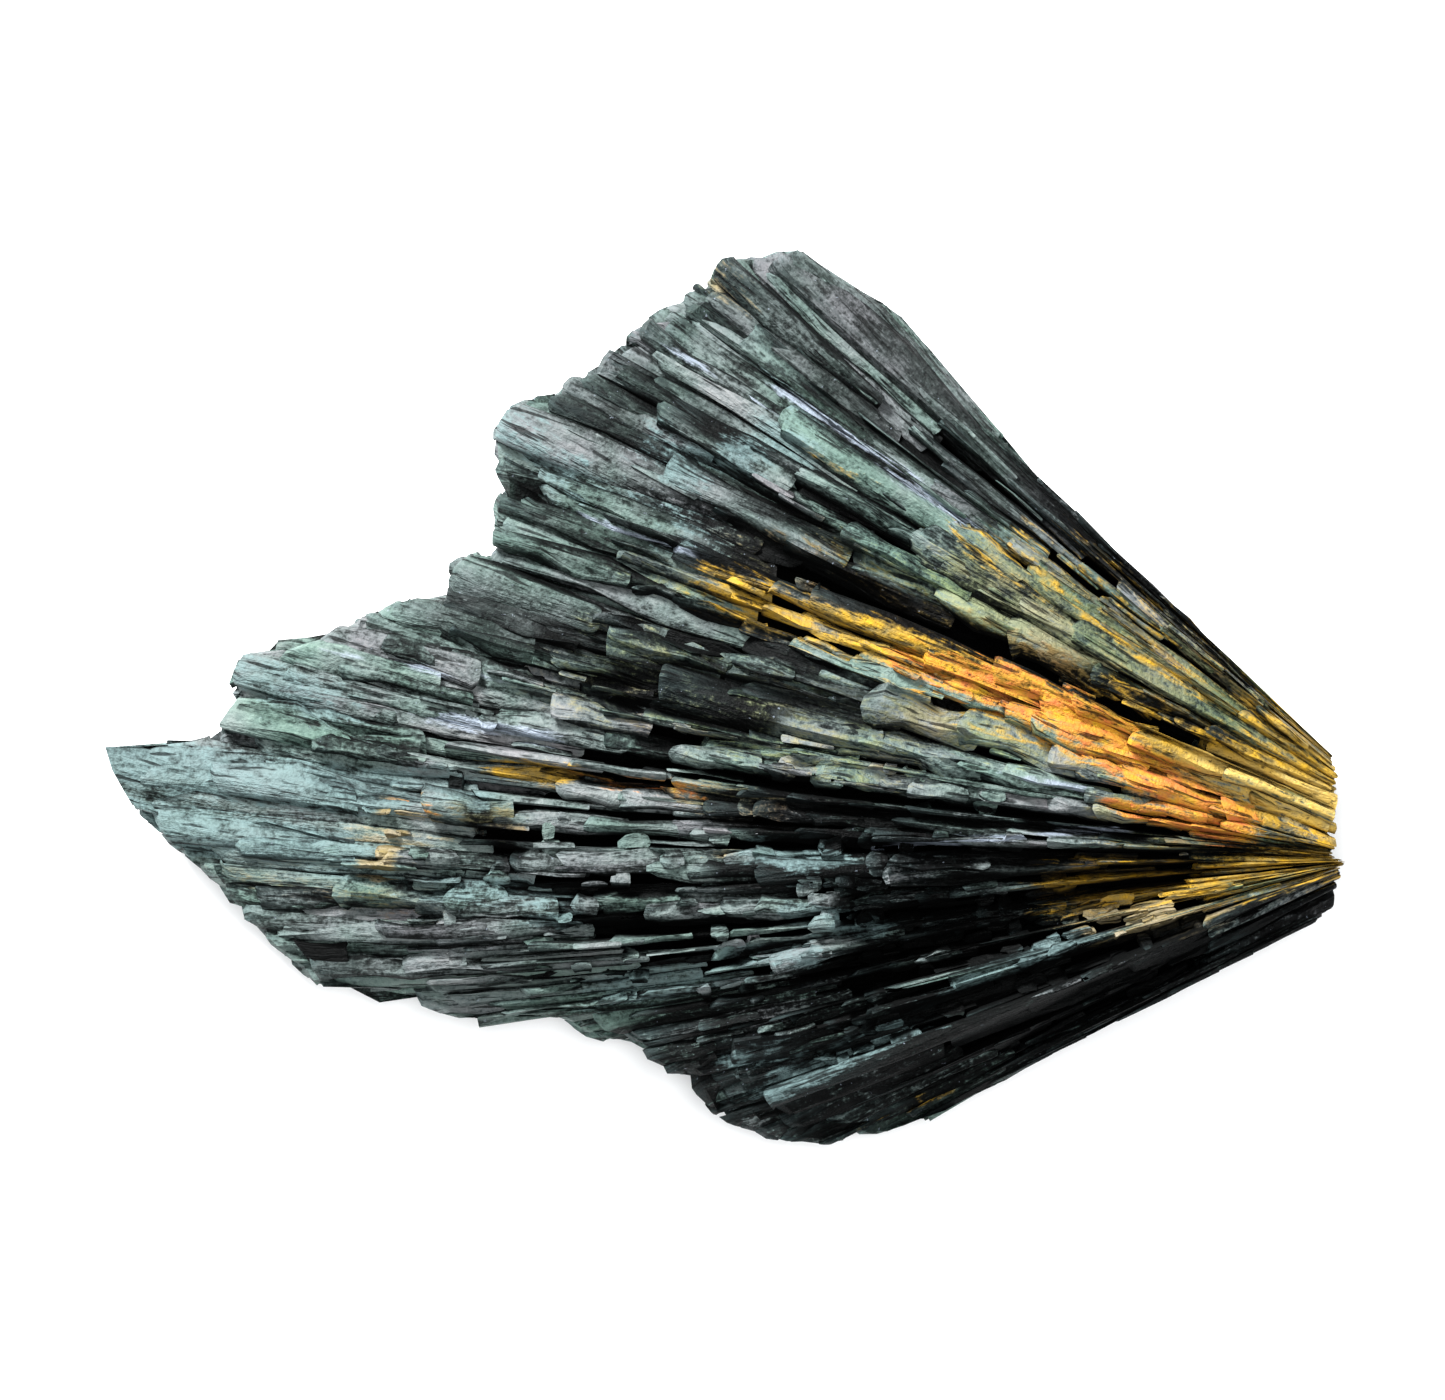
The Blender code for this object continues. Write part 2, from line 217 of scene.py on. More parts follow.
# Stains of the stone, and painted shade, highlights and sheen, as streaks in plan: from x, y to x, y and half
# a width, in mm. A sixth value is a strength other than 1: a weak streak colours the stone in places only.
streaks = {
    "yellow": (
        (-0.6, 6.9, 3.4, 5.3, 1.3), (3.4, 5.3, 11.2, 3, 1.2), (9, 4.2, 26.2, -2.5, 0.8),
        (25.4, -2.7, 37.4, -5, 1.3), (29.5, -4.9, 37.8, -7.9, 1.5, 0.9), (27, 1.6, 33.5, -1.7, 0.9, 0.5),
        (14.8, 9.7, 21.3, 6.1, 1.1, 0.5), (21.3, 6.1, 28.7, 0.8, 0.9, 0.5),
        (-13.4, -4.3, -9.6, -4.5, 0.6, 1.4), (34, -1.7, 37.4, -4.3, 1.2), (20.5, -11, 29.5, -11, 1.2),
        (29.5, -10.6, 37.2, -9.8, 0.7), (11.2, -25, 14, -23.8, 0.4, 0.6), (5.9, 14.6, 9.1, 13, 0.4, 0.65),
        (37, -3.5, 20, 8.5, 2.2, 0.3), (36, -5, 24, -0.5, 2, 0.45), (8, 3.6, 22, -2.9, 1.5, 0.5),
        (37, -9.9, 21, -12, 1.5, 0.48),
    ),
    "orange": (
        (11.2, 2.4, 20.5, -0.8, 1.1), (20.5, -0.8, 25.4, -4.1, 1.5), (25.4, -4.1, 31.1, -7.4, 1.3),
        (16.5, 2, 23.8, -1.7, 0.6), (-7, -4.9, -5.3, -5, 0.35, 0.7), (-3.6, -5.2, -2.6, -5.4, 0.45, 0.75),
        (23.8, -6.5, 29.5, -7.8, 0.6), (-19.3, -5.3, -18.1, -6.5, 0.5, 0.5),
    ),
    "cream": (
        (-19.8, -6.6, -20.9, -9.8, 1, 1.4), (-20.2, -7.6, -17.2, -6.9, 0.5, 0.8),
        (-1.6, 26.2, 0, 25.6, 0.9, 0.6), (22.8, -13.3, 29.7, -12.2, 1.4), (-0.4, -9.2, 0, -9.2, 0.3),
        (29.1, -3.3, 31.1, -3.7, 0.5),
    ),
    # painted shade, in the hollow, on the flanks and in pits between the blades
    "dark": (
        (-1.4, 8.9, 7.1, 7.3, 0.9), (7.3, 6.8, 21.5, 0.4, 1.3), (21, 0.5, 29, -2.4, 1.1),
        (29, -2.2, 37.2, -5.3, 0.5, 0.9), (3, -6.5, 13.2, -10.6, 2), (9.1, -12.6, 20, -14.6, 2.2),
        (3, -17.9, 9.1, -16.3, 1.6), (37.6, -12.2, 21.3, -18.3, 1.4), (21.3, -18.3, 7.1, -25.7, 2),
        (1, -22.4, 11.2, -18.7, 1.2), (24, 8.6, 30.6, 1.2, 1.1, 0.9), (-4.7, 0.8, 1, -0.8, 1.2),
        (-0.6, -6.5, 5.1, -6.5, 1.1), (-15.3, -6.5, -12.8, -9, 0.8), (2.6, -25.9, 13.2, -25.7, 1.1),
        (30, -15.6, 4, -26.5, 1.8), (34, -14.4, 12, -21.6, 1.2, 0.9), (-12, 20, -2, 24, 2.5, 0.36),
        (12, 21, 0, 27, 2, 0.34), (-1.5, -8, -9, -8, 1.4, 0.4), (-16, -15, -4, -16, 2.5, 0.36),
        (12, -10.4, 3, -10.4, 1), (2, -20.5, -6, -21.5, 1.6, 0.6), (-1, -24, 5, -26, 1.6, 0.7),
        (8, -19, 0, -19.5, 1, 0.7), (30.6, 2.6, 24, 9.4, 0.9, 0.6), (24.8, 4.7, 9.5, 17.5, 1.3, 0.55),
        (3.5, 9.2, -4.5, 12.6, 0.8, 0.8), (14, 13, 3, 22, 1.4, 0.4), (33.1, -1, 18.8, 13, 1.1, 0.7),
        (21, 8, 4, 20, 3, 0.32), (15, -2, 0, 1, 1.6, 0.4), (-8, 7, -16, 9, 2.4, 0.36),
        (-1, 9, -12, 12, 2.6, 0.36), (-4, 3, -17.5, 6, 2.4, 0.5), (6, -17.5, -4, -20, 1.4, 0.7),
        (-8, 22.6, 0, 17, 0.9, 0.45), (-2.5, 17.5, 3, 14.5, 0.7, 0.7), (-12, 16, -5, 18.6, 2.2, 0.45),
        (-30, -14, -12, -18.5, 2.2, 0.3), (2, 27, 14, 22, 2, 0.45), (5, 27.5, 18, 14, 2, 0.4),
        (-1, -27, 6, -27, 3, 0.9), (-20, 6.5, -10, 10, 2.4, 0.34), (-27, -17, -18, -19, 1.6, 0.4),
        (30, -13.8, 37.6, -11.1, 0.9, 0.9), (37.4, -9.4, 29, -9.4, 0.7, 0.9),
        (9.7, -10.3, -0.3, -10.6, 1.1, 0.6), (11.8, -7.1, -0.2, -6.2, 1, 0.5),
        (11.6, -20.4, 2.2, -23.8, 1.5, 0.8), (16.8, -20.5, -0.5, -28, 1.7),
        (1.3, -21, -4.5, -23.2, 1.3, 0.7), (31.3, -3.5, 22.6, 1.5, 0.7, 0.8),
        (8, 8.8, -4, 15.2, 1.1, 0.5), (-8, 22, 4, 28, 2.6, 0.42),
    ),
    # painted highlights, pale teal
    "pale": (
        (-37.2, -3.3, -31.1, -4.9, 1.6), (-31.5, -4.1, -19.3, -6.1, 1.2), (-35.2, -7.6, -21.4, -9.8, 1.4),
        (-29.9, 2, -22.6, -0.8, 1.2, 0.7), (-14, 17.5, -8.8, 13, 1.4, 0.6), (2.6, 19.3, 4.3, 18.3, 0.5),
        (-3.1, 13.8, 5.1, 15.8, 0.8), (2, -9, 5.1, -9.6, 0.7), (6.1, -9.3, 7.9, -9.5, 0.5),
        (-11.2, -13.4, -8.8, -13.5, 0.5), (4.3, -12.8, 9.1, -13.9, 0.7), (3, -15.1, 5.1, -15.5, 0.7),
        (-18.5, -11.4, -9.6, -11.8, 1, 0.6), (1.4, -21.6, 3.4, -22.8, 0.7),
        (1, -15.9, -7.1, -17.9, 1.2, 0.7), (27.9, -11.4, 14.4, -17.3, 0.5),
        (12.4, -19.2, 1.8, -24.4, 0.6), (-17.7, -4.5, -14.4, -6.1, 0.7),
        (-3.9, 16.6, -1.4, 7.3, 0.8, 0.5),
    ),
    # painted sheen, in narrow pearly lines
    "sheen": (
        (-3.5, 21.7, -1.4, 20.3, 0.2), (1, 19.1, 4.7, 18.3, 0.2), (4.7, 18.3, 14.8, 10.5, 0.17),
        (-5.1, 10.3, -0.6, 8.3, 0.16), (-23.8, 2.6, -15.3, 1.6, 0.16), (-16.9, -1.1, -10.4, -2.5, 0.35),
        (-9.6, 11.4, -5.1, 9.7, 0.16), (17.3, -4.5, 21.3, -5.3, 0.2), (9.1, -9, 23.8, -7.8, 0.12),
    ),
    # lighter stone, and near the root partly painted light where the surface turns from the lamp
    "bright": (
        (38, -7, 14.2, -0.6, 2.4), (19.5, -5.6, 4, -2.6, 1.5, 0.4), (20, -1, 2, 5.5, 1.6, 0.7),
        (18, 2.6, 6, 8.6, 1.4, 0.9), (33, -1, 19, 9.8, 1.3, 0.9), (37, -5, 20, 3, 2.6, 0.9),
        (37.5, -9.6, 27, -10.6, 0.9, 0.7), (24, 3, 4, 12, 2.4, 0.5), (30.7, -9.5, 19.7, -9.5, 2.6, 0.6),
        (38, -6.9, 30, -4.2, 1.6, 1.5), (8, -14.2, -17.7, -17.8, 2.4, 0.5),
        (7.7, -8.6, -20.3, -7.8, 1.2, 0.5), (-31, 1, -27, 4.5, 1.5, 0.8), (29.5, -13, 22, -14, 1),
        (31.7, -2.5, 23.9, 3.4, 0.9, 0.9), (13.8, 1.5, -1.1, 7.4, 1.3, 0.8),
        (26, 0.4, 6.1, 12.8, 1.4, 0.6), (32, -2.4, 12.6, 11.7, 1.1, 0.6),
        (29.8, -7.6, 19.9, -6, 1.2, 0.8), (20.3, -4.4, 13.5, -2.8, 1, 0.7), (36, -10.7, 20.2, -14, 1.3),
        (20, 9, 12, 15, 1.6, 0.6), (37, -4, 26, -6, 2), (-1.2, -6.6, -16.1, -4.9, 2.2, 0.9),
        (-9, -19.6, -14.5, -21, 1.5, 0.4), (34, -8.3, 27, -8.8, 0.9, 0.6), (16.5, 4.2, 3, 10.4, 1, 0.9),
        (24, -2.6, 12, 1.6, 1.3, 0.9),
    ),
    "brown": (
        (30, -3, 3, 8.4, 1.5, 0.8), (14, 3.6, 6, 10.2, 1, 0.5), (-15.3, -6.5, -12.8, -7.6, 1, 0.8),
        (-2.5, -5.6, 3, -6.6, 1, 0.6), (28, -11.5, 20.5, -11.6, 1.6, 0.7), (34, -8.2, 24, -8.6, 0.8, 0.5),
        (-30, -9.6, -18, -12, 1.6, 0.4),
    ),
    "olive": (
        (37, -4.5, 16, 6.5, 3.6, 0.75), (36, -9.8, 24, -7, 2, 0.6), (12, -1, 24, -3.4, 1.6, 0.6),
        (10, -3, -8, 2, 3, 0.45), (8, 7, 18, 6, 2.4, 0.5), (36, -9.8, 22, -12, 1.6, 0.7),
        (2, 6.2, -6, 8.4, 1.2, 0.4),
    ),
}


def nearStreaks(places, rows):
    # full on a streak, falling to 0 at 1.6 times its half width
    most = np.zeros(len(places))
    for x0, y0, x1, y1, half, *strength in rows:
        along = np.array((x1 - x0, y1 - y0))
        share = np.clip((places - (x0, y0)) @ along / (along @ along + 1e-9), 0, 1)
        gap = np.linalg.norm(places - (x0, y0) - share[:, None] * along, axis=1)
        most = np.maximum(most, np.clip(1.6 - gap / half, 0, 1) * (strength[0] if strength else 1.0))
    return most


# the lights are painted shade, painted highlights and painted sheen; among the tints, bright is partly
# painted light
streakSets = (
    ("stain", ("yellow", "orange", "cream")),
    ("lights", ("dark", "pale", "sheen")),
    ("tints", ("bright", "brown", "olive")),
)


def paintStreaks(mesh):
    co = np.zeros(len(mesh.vertices) * 3, np.float32)
    mesh.vertices.foreach_get("co", co)
    co = co.reshape(-1, 3) / mm
    upper = np.clip((co[:, 2] - 3.0) / 3.0, 0, 1)
    deep = np.clip((co[:, 0] - 24.0) / 10.0, 0, 1) * 0.6  # near the root the stain goes right through
    through = np.maximum(upper, deep)
    for name, kinds in streakSets:
        layer = mesh.attributes.new(name, "FLOAT_VECTOR", "POINT")
        values = np.stack([nearStreaks(co[:, :2], streaks[kind]) for kind in kinds], axis=1)
        values *= (through if name == "stain" else upper)[:, None]
        layer.data.foreach_set("vector", values.astype(np.float32).ravel())


# Shader helpers: a value may be a number, a colour or another node's socket
def feed(tree, socket, value):
    if isinstance(value, bpy.types.NodeSocket):
        tree.links.new(value, socket)
    else:
        socket.default_value = value


def calculate(tree, operation, a, b):
    node = tree.nodes.new("ShaderNodeMath")
    node.operation = operation
    feed(tree, node.inputs[0], a)
    feed(tree, node.inputs[1], b)
    return node.outputs[0]


def multiply(tree, a, b):
    return calculate(tree, "MULTIPLY", a, b)


def addUp(tree, *parts):
    total = 0.0
    for value, weight in parts:
        node = tree.nodes.new("ShaderNodeMath")
        node.operation = "MULTIPLY_ADD"
        for socket, given in zip(node.inputs, (value, weight, total)):
            feed(tree, socket, given)
        total = node.outputs[0]
    return total


def remap(tree, value, low, high, toLow=0.0, toHigh=1.0, soft=False):
    node = tree.nodes.new("ShaderNodeMapRange")
    node.interpolation_type = "SMOOTHSTEP" if soft else "LINEAR"
    sockets = ("Value", "From Min", "From Max", "To Min", "To Max")
    for socket, number in zip(sockets, (value, low, high, toLow, toHigh)):
        feed(tree, node.inputs[socket], number)
    return node.outputs[0]


def mixColour(tree, factor, a, b, blend="MIX"):
    node = tree.nodes.new("ShaderNodeMix")
    node.data_type = "RGBA"
    node.blend_type = blend
    feed(tree, node.inputs["Factor"], factor)
    feed(tree, node.inputs[6], a)
    feed(tree, node.inputs[7], b)
    return node.outputs[2]


def noiseAt(tree, place, scale, detail, rough):
    node = tree.nodes.new("ShaderNodeTexNoise")
    node.inputs["Scale"].default_value = scale
    node.inputs["Detail"].default_value = detail
    node.inputs["Roughness"].default_value = rough
    feed(tree, node.inputs["Vector"], place)
    return node.outputs["Fac"]


def readAttribute(tree, name):
    node = tree.nodes.new("ShaderNodeAttribute")
    node.attribute_name = name
    split = tree.nodes.new("ShaderNodeSeparateXYZ")
    tree.links.new(node.outputs["Vector"], split.inputs[0])
    return split.outputs[0], split.outputs[1], split.outputs[2]


def newGroup(name, inputs, outputs):
    group = bpy.data.node_groups.new(name, "ShaderNodeTree")
    for label, value in inputs:
        socket = group.interface.new_socket(name=label, in_out="INPUT", socket_type="NodeSocketFloat")
        socket.default_value = value
    for label in outputs:
        group.interface.new_socket(name=label, in_out="OUTPUT", socket_type="NodeSocketFloat")
    return group, group.nodes.new("NodeGroupInput").outputs, group.nodes.new("NodeGroupOutput").inputs


def useGroup(tree, group, **values):
    node = tree.nodes.new("ShaderNodeGroup")
    node.node_tree = group
    for label, value in values.items():
        feed(tree, node.inputs[label], value)
    return node.outputs


# Lines that run along each blade: coarse, fine and thin dark ones
def makeRibLines():
    group, given, put = newGroup(
        "rib lines",
        (("Across", 0.0), ("Distance", 0.0), ("Tone", 0.0), ("Fineness", 2.0)),
        ("Coarse", "Fine", "Mottling", "Hairlines"),
    )
    across = multiply(group, given["Across"], given["Fineness"])
    apart = multiply(group, given["Tone"], 37.0)
    for label, stretch, scale, low, high in (
        ("Coarse", 0.16, 0.9, 0.32, 0.68), ("Fine", 0.3, 2.7, 0.3, 0.7), ("Mottling", 0.8, 1.1, 0.32, 0.68),
        ("Hairlines", 0.16, 1.7, 0.41, 0.35),
    ):
        place = group.nodes.new("ShaderNodeCombineXYZ")
        along = multiply(group, given["Distance"], stretch)
        for socket, value in zip(place.inputs, (across, along, apart)):
            feed(group, socket, value)
        feed(group, put[label], remap(group, noiseAt(group, place.outputs[0], scale, 3.0, 0.55), low, high))
    return group


# Patches and grain of the stone itself, and small painted glints
def makeStoneGrain():
    group, given, put = newGroup("stone grain and painted glints", (("Glint Share", 0.2),), ("Patches", "Grain", "Glints"))
    place = group.nodes.new("ShaderNodeTexCoord").outputs["Object"]
    feed(group, put["Patches"], remap(group, noiseAt(group, place, 170.0, 3.0, 0.6), 0.35, 0.65))
    feed(group, put["Grain"], remap(group, noiseAt(group, place, 3300.0, 3.0, 0.7), 0.32, 0.68))
    least = addUp(group, (given["Glint Share"], -0.2), (1.0, 0.76))
    most = calculate(group, "ADD", least, 0.04)
    feed(group, put["Glints"], remap(group, noiseAt(group, place, 3400.0, 2.0, 0.5), least, most))
    return group


# A streak's soft strength broken into a ragged edge by the stone's own lines
def makeRaggedEdge():
    group, given, put = newGroup(
        "ragged edge",
        (("Strength", 0.0), ("Broken By", 0.5), ("Raggedness", 0.9), ("Full At", 0.75)),
        ("Mask",),
    )
    centred = calculate(group, "SUBTRACT", given["Broken By"], 0.5)
    ragged = multiply(group, centred, given["Raggedness"])
    inside = remap(group, given["Strength"], 0.0, 0.15)
    strength = calculate(group, "ADD", given["Strength"], multiply(group, ragged, inside))
    feed(group, put["Mask"], remap(group, strength, 0.3, given["Full At"], soft=True))
    return group


ribLines = makeRibLines()
grainAndGlints = makeStoneGrain()
raggedEdge = makeRaggedEdge()

# Colours of the stone and its stains, and of its painted shade and highlights
colours = {
    "deep": (0.0015, 0.002, 0.002, 1),
    "dark": (0.0035, 0.005, 0.005, 1),
    "dim": (0.022, 0.030, 0.028, 1),
    "middle": (0.103, 0.133, 0.127, 1),
    "light": (0.182, 0.220, 0.208, 1),
    "purple": (1.07, 0.85, 0.94, 1),  # this and the next three tint what lies below
    "green": (0.85, 1.02, 0.91, 1),
    "olive": (1.15, 0.98, 0.55, 1),
    "brown": (1.0, 0.66, 0.36, 1),
    # the paler blade ends, and the painted highlights of the pale streaks
    "teal": (0.128, 0.186, 0.188, 1),
    # for painted glints and painted sheen
    "highlight": (0.235, 0.27, 0.32, 1),
    "yellow": (0.45, 0.27, 0.022, 1),
    "ochre": (0.19, 0.145, 0.055, 1),
    "orange": (0.46, 0.145, 0.050, 1),
    "cream": (0.25, 0.215, 0.15, 1),
    "straw": (0.60, 0.44, 0.15, 1),  # the stain where it is brightest, at the root, partly painted light where the root turns from the lamp
}


def makeStone(name, fineness, brightness, glintShare):
    stone = bpy.data.materials.new(name)
    stone.use_nodes = True
    tree = stone.node_tree
    shader = tree.nodes["Principled BSDF"]
    shader.inputs["Specular IOR Level"].default_value = 0.16
    across, distance, tone = readAttribute(tree, "ribLine")
    # depth is the painted shade worked out for each point of a blade
    tip, depth, warm = readAttribute(tree, "bladeSpot")
    yellow, orange, cream = readAttribute(tree, "stain")
    dark, pale, sheen = readAttribute(tree, "lights")
    bright, brown, olive = readAttribute(tree, "tints")
    lines = useGroup(tree, ribLines, Across=across, Distance=distance, Tone=tone, Fineness=fineness)
    grain = useGroup(tree, grainAndGlints, **{"Glint Share": glintShare})

    # what the edges of streaks and of dark gaps are broken by
    broken = addUp(tree, (lines["Fine"], 0.4), (grain["Grain"], 0.2), (tone, 0.1), (lines["Mottling"], 0.3))
    # that painted shade between and down the sides of the blades, given a ragged edge
    depth = addUp(tree, (broken, -0.3), (depth, 1.0), (1.0, 0.12))
    streaky = addUp(
        tree, (lines["Coarse"], 0.4), (lines["Fine"], 0.25), (lines["Mottling"], 0.2), (grain["Grain"], 0.15),
    )
    streaky = remap(tree, streaky, 0.22, 0.78)

    def edgeOf(strength, raggedness, brokenBy=broken, fullAt=0.75):
        given = {"Strength": strength, "Broken By": brokenBy, "Raggedness": raggedness, "Full At": fullAt}
        return useGroup(tree, raggedEdge, **given)["Mask"]

    # how light the bare stone is, from 0 in the deep gaps to 1, with painted shade from the dark streaks and
    # down the blade sides
    # painted shade of the dark streaks, broken where the grain lets lighter specks through
    paintedShadeMask = edgeOf(dark, 1.0)
    speckShare = addUp(tree, (grain["Grain"], 0.25), (lines["Fine"], 0.4), (tone, 0.3), (1.0, -0.45))
    specks = multiply(tree, paintedShadeMask, speckShare)
    shade = addUp(
        tree, (tone, 0.34), (lines["Coarse"], 0.18), (lines["Fine"], 0.2), (lines["Mottling"], 0.3),
        (grain["Grain"], 0.3), (grain["Patches"], 0.16), (bright, 0.3), (1.0, -0.21),
        (paintedShadeMask, -0.54), (specks, 1.0), (remap(tree, depth, 0.0, 0.7), -0.5),
    )
    ramp = tree.nodes.new("ShaderNodeValToRGB")
    shades = ramp.color_ramp.elements
    shades[0].color = colours["deep"]
    shades[1].color = colours["light"]
    for share, shadeName in ((0.16, "dark"), (0.37, "dim"), (0.62, "middle")):
        shades.new(share).color = colours[shadeName]
    feed(tree, ramp.inputs[0], shade)
    # some blades are purple, some green, and some places olive or brown
    purpleShare = addUp(tree, (remap(tree, warm, 0.45, 0.9), 0.6), (grain["Patches"], 0.6), (1.0, -0.2))
    greenShare = addUp(tree, (remap(tree, warm, 0.45, 0.1), 0.6), (grain["Patches"], -0.6), (1.0, 0.4))
    purpleShare = remap(tree, purpleShare, 0.0, 1.0)
    colour = mixColour(tree, purpleShare, ramp.outputs[0], colours["purple"], "MULTIPLY")
    colour = mixColour(tree, remap(tree, greenShare, 0.0, 1.0), colour, colours["green"], "MULTIPLY")
    for strength, shadeName in ((olive, "olive"), (brown, "brown")):
        tinted = mixColour(tree, 1.0, colour, colours[shadeName], "MULTIPLY")
        colour = mixColour(tree, multiply(tree, edgeOf(strength, 1.2), 0.85), colour, tinted)
    # paler at broken ends, painted highlights along the pale streaks and painted glints at a few small spots
    endPaling = multiply(tree, tip, lines["Fine"])
    colour = mixColour(tree, multiply(tree, endPaling, 0.35), colour, colours["teal"])
    patchy = addUp(tree, (lines["Mottling"], 0.5), (grain["Grain"], 0.5), (1.0, 0.05))
    colour = mixColour(tree, multiply(tree, edgeOf(pale, 1.1), patchy), colour, colours["teal"])
    # painted glints, a few more of them in the dark streaks
    paintedGlints = multiply(tree, grain["Glints"], addUp(tree, (dark, 0.2), (1.0, 0.35)))
    colour = mixColour(tree, paintedGlints, colour, colours["highlight"])
    # painted shade down the sides of each blade and deep between the blades
    colour = mixColour(tree, remap(tree, depth, 0.1, 0.75, 0.0, 0.96), colour, colours["deep"])
    # the stains, which also reach down between the blades, where the painted shade darkens them too
    pitted = remap(tree, addUp(tree, (grain["Grain"], 0.5), (lines["Fine"], 0.5)), 0.36, 0.12, 0.0, 0.8)
    for strength, shadeName, otherName in (
        (cream, "cream", "ochre"), (yellow, "yellow", "ochre"), (orange, "orange", "yellow"),
    ):
        mixed = mixColour(tree, lines["Mottling"], colours[otherName], colours[shadeName])
        # straw where the bright streaks are strongest, partly painted light
        mixed = mixColour(tree, remap(tree, bright, 1.0, 1.6, 0.0, 0.7), mixed, colours["straw"])
        mixed = mixColour(tree, pitted, mixed, colours["dark"])
        mixed = mixColour(tree, remap(tree, depth, 0.15, 0.9, 0.0, 0.93), mixed, colours["deep"])
        stained = multiply(tree, edgeOf(strength, 1.0, streaky, 1.0), 0.95)
        colour = mixColour(tree, stained, colour, mixed)
    # thin dark lines, and narrow painted sheen that shines pale and pearly
    colour = mixColour(tree, multiply(tree, lines["Hairlines"], 0.8), colour, colours["deep"])
    sheenLines = remap(tree, lines["Fine"], 0.15, 0.5, 0.25, 1.0)
    sheenMask = multiply(tree, edgeOf(sheen, 0.8), sheenLines)
    colour = mixColour(tree, multiply(tree, sheenMask, 0.9), colour, colours["highlight"])
    colour = mixColour(tree, 1.0, colour, (brightness, brightness, brightness, 1), "MULTIPLY")
    feed(tree, shader.inputs["Base Color"], colour)
    rough = addUp(tree, (lines["Fine"], 0.2), (sheenMask, -0.3), (1.0, 0.58))
    feed(tree, shader.inputs["Roughness"], rough)
    bump = tree.nodes.new("ShaderNodeBump")
    bump.inputs["Strength"].default_value = 0.8
    bump.inputs["Distance"].default_value = 0.0002
    height = addUp(
        tree, (lines["Fine"], 0.3), (lines["Coarse"], 0.6), (grain["Grain"], 0.4), (lines["Mottling"], 0.6),
        (lines["Hairlines"], -0.6),
    )
    feed(tree, bump.inputs["Height"], height)
    feed(tree, shader.inputs["Normal"], bump.outputs[0])
    return stone


bladeStone = makeStone("blade stone", 2.0, 0.96, 0.2)
# painted shade: the core's stone at 0.12 of the brightness, as it shows only deep between the blades
paintedShadeCore = makeStone("core stone in painted shade", 2.0, 0.12, 0.0)
print("kyanite: materials made")


def toMesh(name, bm):
    mesh = bpy.data.meshes.new(name)
    bm.to_mesh(mesh)
    bm.free()
    return mesh


def addObject(name, content):
    made = bpy.data.objects.new(name, content)
    bpy.context.scene.collection.objects.link(made)
    return made


def finishPiece(name, bm, stone):
    mesh = toMesh(name, bm)
    mesh.shade_smooth()
    mesh.set_sharp_from_angle(angle=math.radians(52))
    mesh.materials.append(stone)
    paintStreaks(mesh)
    piece = addObject(name, mesh)
    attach(piece, "root")
    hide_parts("crystal_fan")
    print(f"kyanite: {name}, {len(mesh.polygons)} faces")


# One blade to copy: a bar 1 long, wide and high, rounded along its upper edges and cut where it bends
bladeShape = {
    "rounding": 0.36,
    "cutsAlong": (0.06, 0.35, 0.65, 0.93),
    "wave": 0.38,  # how far it sways sideways
    "swell": 0.46,  # and rises and falls, both in mm
    "ragged": 0.7,  # how much it widens and narrows, in shares of its width
}


def makeBar():
    bm = bmesh.new()
    bmesh.ops.create_cube(bm, size=1.0)
    upper = [e for e in bm.edges if all(v.co.z > 0 for v in e.verts) and e.verts[0].co.y == e.verts[1].co.y]
    rounding = bladeShape["rounding"]
    bmesh.ops.bevel(bm, geom=upper, offset=rounding, segments=2, profile=0.5, affect="EDGES", material=-1)
    for x in bladeShape["cutsAlong"]:
        geom = bm.verts[:] + bm.edges[:] + bm.faces[:]
        bmesh.ops.bisect_plane(bm, geom=geom, plane_co=(x - 0.5, 0, 0), plane_no=(1, 0, 0))
    return toMesh("bar", bm)


# Painted shade: how dark a blade is painted below its upper side and where it lies deep between the others.
# The broken ends at the rim and its steps, and the flanks, get less of that painted shade.
shading = {
    "side": 1.5,
    "clear": 0.5,  # mm below the surface where it starts to get darker
    "grown": 0.9,  # and how much deeper that is where the blades have grown together
    "rim": (2.6, 0.8),  # mm before the rim
    "rimLight": 0.85,
    "stepAngle": 2.4,  # degrees aside
    "middleAngle": 8.4,
    "flankAngles": (33.0, 36.0),  # on both sides of the middle one
    "flankLight": 0.65,
}


def paintedShadeAt(distance, angle, side, up, buried):
    nearest = min(rimAt(angle), rimAt(angle + shading["stepAngle"] * side))
    atRim = shading["rimLight"] * smoothStep(nearest - distance, *shading["rim"])
    atFlank = shading["flankLight"] * smoothStep(abs(angle - shading["middleAngle"]), *shading["flankAngles"])
    sunk = buried - shading["clear"] - shading["grown"] * grownTogether(distance, angle)
    return min(1.0, max(shading["side"] * (1 - up), sunk) * (1 - max(atFlank, atRim)))


